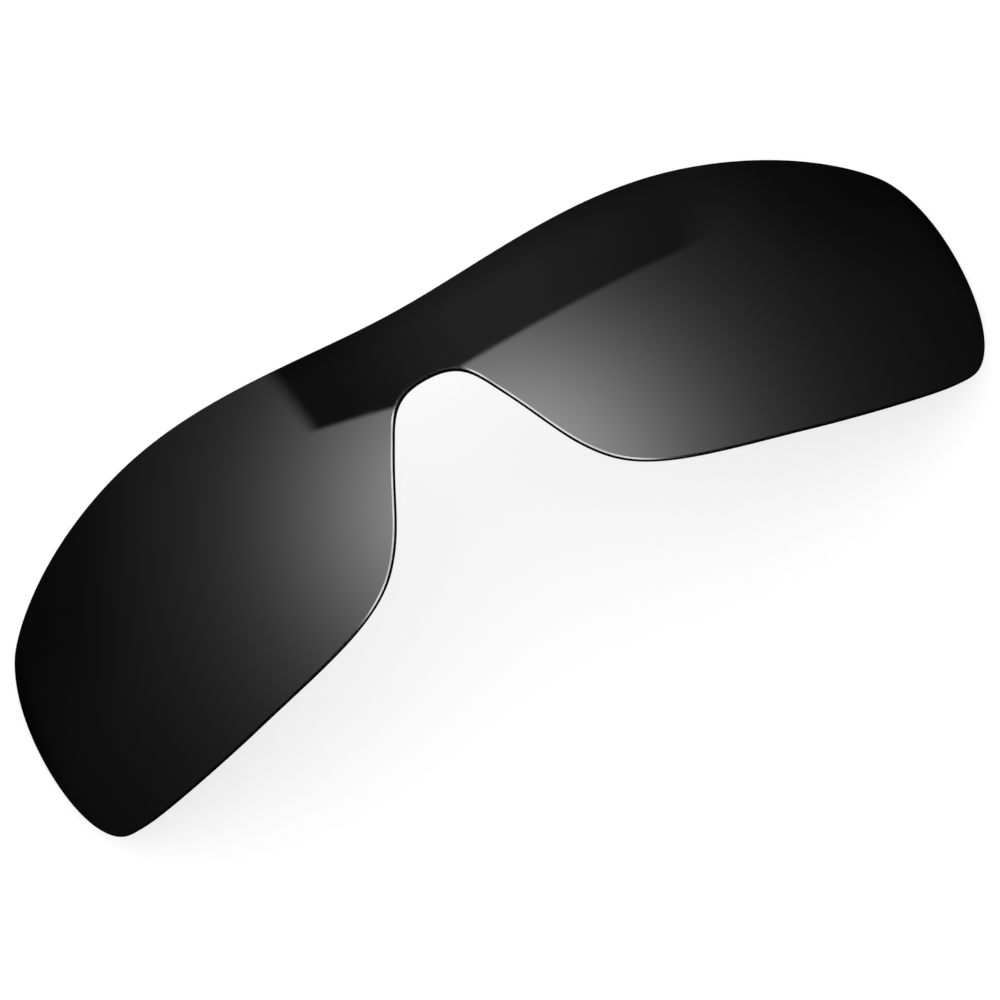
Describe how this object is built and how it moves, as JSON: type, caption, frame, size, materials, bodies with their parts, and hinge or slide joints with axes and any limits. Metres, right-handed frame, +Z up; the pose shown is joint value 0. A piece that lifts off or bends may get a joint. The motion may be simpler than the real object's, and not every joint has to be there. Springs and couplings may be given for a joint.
{
  "type": "sunglass shield lens",
  "caption": "One-piece wrap shield lens with a nose arch, a dark mirrored polarising laminate with bevelled edges.",
  "frame": {"origin": "on the surface that the lens stands on, under the middle of its box, with the lens standing on its edge and its convex front up", "axes": "+X across the face from one temple end to the other, +Y towards the brow edge, +Z up"},
  "size_m": [0.1378, 0.04, 0.0382],
  "materials": {
    "front_hard_coat": "clear scratch-resistant top coat over the mirror, polished",
    "mirror_coat": "dark neutral vapour-deposited mirror",
    "tinted_sheet": "grey-smoke clear plastic sheet, cut and polished at its edge",
    "bond_layer": "clear adhesive",
    "polarising_film": "near-black stretched film",
    "rear_hard_coat": "clear scratch-resistant coat on the eye side"
  },
  "bodies": {
    "root": {"front_hard_coat": "front_hard_coat", "mirror_coat": "mirror_coat", "front_cover_sheet": "tinted_sheet", "front_bond_layer": "bond_layer", "polarising_film": "polarising_film", "rear_bond_layer": "bond_layer", "rear_carrier_sheet": "tinted_sheet", "rear_hard_coat": "rear_hard_coat"}
  },
  "joints": []
}
